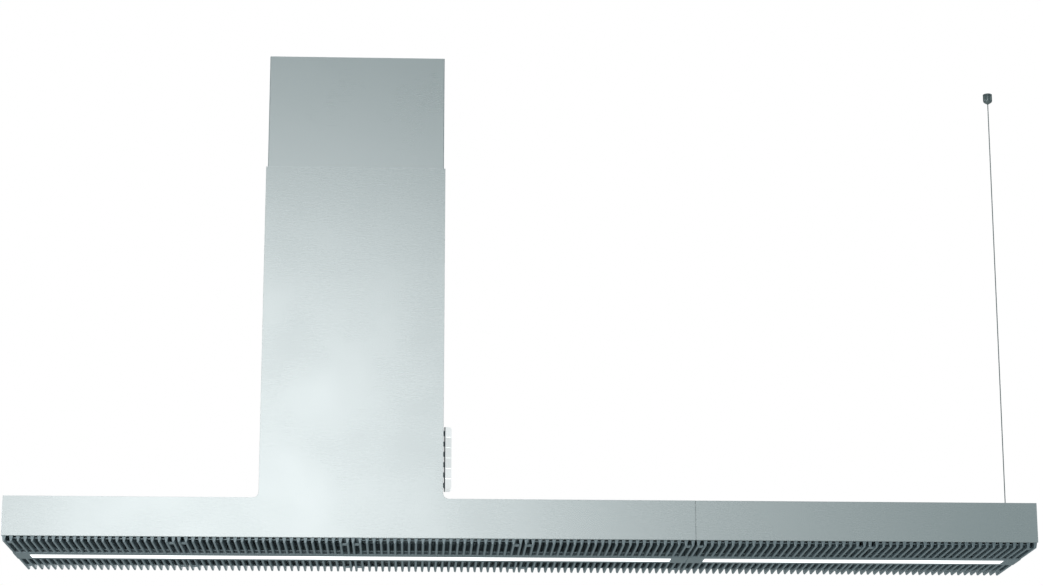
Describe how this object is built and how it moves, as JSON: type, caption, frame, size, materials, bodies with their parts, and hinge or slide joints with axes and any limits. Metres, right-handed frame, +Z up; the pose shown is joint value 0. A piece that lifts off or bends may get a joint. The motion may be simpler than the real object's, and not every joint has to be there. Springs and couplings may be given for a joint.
{
  "type": "island range hood",
  "caption": "Long, low ceiling-hung kitchen extractor with a square telescopic chimney, finned grille cassettes either side of a light strip, side keypad and a cable-hung extension.",
  "frame": {"origin": "on the ceiling, at the middle of the four ceiling bolts, on the axis of the square chimney", "axes": "+Z up, +X along the hood towards the extension, -Y the front"},
  "size_m": [1.8, 0.32, 0.889],
  "materials": {
    "skin_steel": "fine brushed stainless steel",
    "bar_steel": "brushed stainless steel",
    "chassis_steel": "galvanised sheet",
    "fastener_steel": "zinc plated",
    "cable_steel": "stranded stainless wire",
    "fitting_metal": "satin turned metal",
    "grille_metal": "satin metallic",
    "filter_mesh": "knitted mesh",
    "opal_lens": "opal, lit from behind",
    "led_board": "white solder mask",
    "blower_plastic": "moulded",
    "impeller_plastic": "moulded",
    "motor_steel": "black enamel",
    "collar_plastic": "moulded",
    "key_white": "satin moulded",
    "key_grey": "satin moulded",
    "keypad_dark": "moulded"
  },
  "bodies": {
    "ceiling_frame": {"ceiling_plate": "chassis_steel", "upper_uprights": "chassis_steel", "upper_frame_screws": "fastener_steel", "ceiling_anchor": "fitting_metal", "suspension_cable": "cable_steel"},
    "hood": {"lower_uprights": "chassis_steel", "lower_frame_screws": "fastener_steel", "cable_gripper": "fitting_metal", "front_panel": "skin_steel", "back_panel": "skin_steel", "chimney_right_side": "skin_steel", "chimney_left_side": "skin_steel", "right_lid": "skin_steel", "left_lid": "skin_steel", "left_end_cap": "skin_steel", "extension_shell": "skin_steel", "right_end_cap": "skin_steel", "main_chassis": "chassis_steel", "extension_chassis": "chassis_steel", "joint_bolts": "fastener_steel", "main_light_bar": "bar_steel", "extension_light_bar": "bar_steel", "main_diffuser": "opal_lens", "extension_diffuser": "opal_lens", "led_boards": "led_board", "blower_housing": "blower_plastic", "blower_motor": "motor_steel", "outlet_collar": "collar_plastic", "control_box": "blower_plastic", "keypad_base": "keypad_dark"},
    "upper_chimney": {"upper_chimney": "skin_steel"},
    "front_cassette_1": {"front_grille_1": "grille_metal", "front_filter_1": "filter_mesh"},
    "front_cassette_2": {"front_grille_2": "grille_metal", "front_filter_2": "filter_mesh"},
    "front_cassette_3": {"front_grille_3": "grille_metal", "front_filter_3": "filter_mesh"},
    "front_cassette_4": {"front_grille_4": "grille_metal", "front_filter_4": "filter_mesh"},
    "front_cassette_5": {"front_grille_5": "grille_metal"},
    "front_cassette_6": {"front_grille_6": "grille_metal"},
    "back_cassette_1": {"back_grille_1": "grille_metal", "back_filter_1": "filter_mesh"},
    "back_cassette_2": {"back_grille_2": "grille_metal", "back_filter_2": "filter_mesh"},
    "back_cassette_3": {"back_grille_3": "grille_metal", "back_filter_3": "filter_mesh"},
    "back_cassette_4": {"back_grille_4": "grille_metal", "back_filter_4": "filter_mesh"},
    "back_cassette_5": {"back_grille_5": "grille_metal"},
    "back_cassette_6": {"back_grille_6": "grille_metal"},
    "key_1": {"key_1": "key_white"},
    "key_2": {"key_2": "key_grey"},
    "key_3": {"key_3": "key_grey"},
    "key_4": {"key_4": "key_grey"},
    "key_5": {"key_5": "key_white"},
    "key_6": {"key_6": "key_white"},
    "impeller": {"impeller": "impeller_plastic"},
    "back_flap": {"back_flap": "collar_plastic"},
    "front_flap": {"front_flap": "collar_plastic"}
  },
  "joints": [
    {"name": "height_adjust", "type": "slide", "parent": "ceiling_frame", "child": "hood", "axis": [0, 0, 1], "range_m": [0, 0.15], "deforming": ["suspension_cable"]},
    {"name": "upper_chimney_slide", "type": "slide", "parent": "ceiling_frame", "child": "upper_chimney", "axis": [0, 0, -1], "range_m": [0, 0.19]},
    {"name": "front_cassette_1_drop", "type": "slide", "parent": "hood", "child": "front_cassette_1", "axis": [0, 0, -1], "range_m": [0, 0.06]},
    {"name": "front_cassette_2_drop", "type": "slide", "parent": "hood", "child": "front_cassette_2", "axis": [0, 0, -1], "range_m": [0, 0.06]},
    {"name": "front_cassette_3_drop", "type": "slide", "parent": "hood", "child": "front_cassette_3", "axis": [0, 0, -1], "range_m": [0, 0.06]},
    {"name": "front_cassette_4_drop", "type": "slide", "parent": "hood", "child": "front_cassette_4", "axis": [0, 0, -1], "range_m": [0, 0.06]},
    {"name": "front_cassette_5_drop", "type": "slide", "parent": "hood", "child": "front_cassette_5", "axis": [0, 0, -1], "range_m": [0, 0.06]},
    {"name": "front_cassette_6_drop", "type": "slide", "parent": "hood", "child": "front_cassette_6", "axis": [0, 0, -1], "range_m": [0, 0.06]},
    {"name": "back_cassette_1_drop", "type": "slide", "parent": "hood", "child": "back_cassette_1", "axis": [0, 0, -1], "range_m": [0, 0.06]},
    {"name": "back_cassette_2_drop", "type": "slide", "parent": "hood", "child": "back_cassette_2", "axis": [0, 0, -1], "range_m": [0, 0.06]},
    {"name": "back_cassette_3_drop", "type": "slide", "parent": "hood", "child": "back_cassette_3", "axis": [0, 0, -1], "range_m": [0, 0.06]},
    {"name": "back_cassette_4_drop", "type": "slide", "parent": "hood", "child": "back_cassette_4", "axis": [0, 0, -1], "range_m": [0, 0.06]},
    {"name": "back_cassette_5_drop", "type": "slide", "parent": "hood", "child": "back_cassette_5", "axis": [0, 0, -1], "range_m": [0, 0.06]},
    {"name": "back_cassette_6_drop", "type": "slide", "parent": "hood", "child": "back_cassette_6", "axis": [0, 0, -1], "range_m": [0, 0.06]},
    {"name": "key_1_press", "type": "slide", "parent": "hood", "child": "key_1", "axis": [-1, 0, 0], "range_m": [0, 0.001], "stiffness_N_per_m": 1200},
    {"name": "key_2_press", "type": "slide", "parent": "hood", "child": "key_2", "axis": [-1, 0, 0], "range_m": [0, 0.001], "stiffness_N_per_m": 1200},
    {"name": "key_3_press", "type": "slide", "parent": "hood", "child": "key_3", "axis": [-1, 0, 0], "range_m": [0, 0.001], "stiffness_N_per_m": 1200},
    {"name": "key_4_press", "type": "slide", "parent": "hood", "child": "key_4", "axis": [-1, 0, 0], "range_m": [0, 0.001], "stiffness_N_per_m": 1200},
    {"name": "key_5_press", "type": "slide", "parent": "hood", "child": "key_5", "axis": [-1, 0, 0], "range_m": [0, 0.001], "stiffness_N_per_m": 1200},
    {"name": "key_6_press", "type": "slide", "parent": "hood", "child": "key_6", "axis": [-1, 0, 0], "range_m": [0, 0.001], "stiffness_N_per_m": 1200},
    {"name": "impeller_spin", "type": "hinge", "parent": "hood", "child": "impeller", "pos_m": [0, 0, -0.7], "axis": [1, 0, 0], "continuous": true},
    {"name": "back_flap_swing", "type": "hinge", "parent": "hood", "child": "back_flap", "pos_m": [0, 0.003, -0.532], "axis": [1, 0, 0], "range_deg": [0, 80]},
    {"name": "front_flap_swing", "type": "hinge", "parent": "hood", "child": "front_flap", "pos_m": [0, -0.003, -0.532], "axis": [-1, 0, 0], "range_deg": [0, 80]}
  ]
}
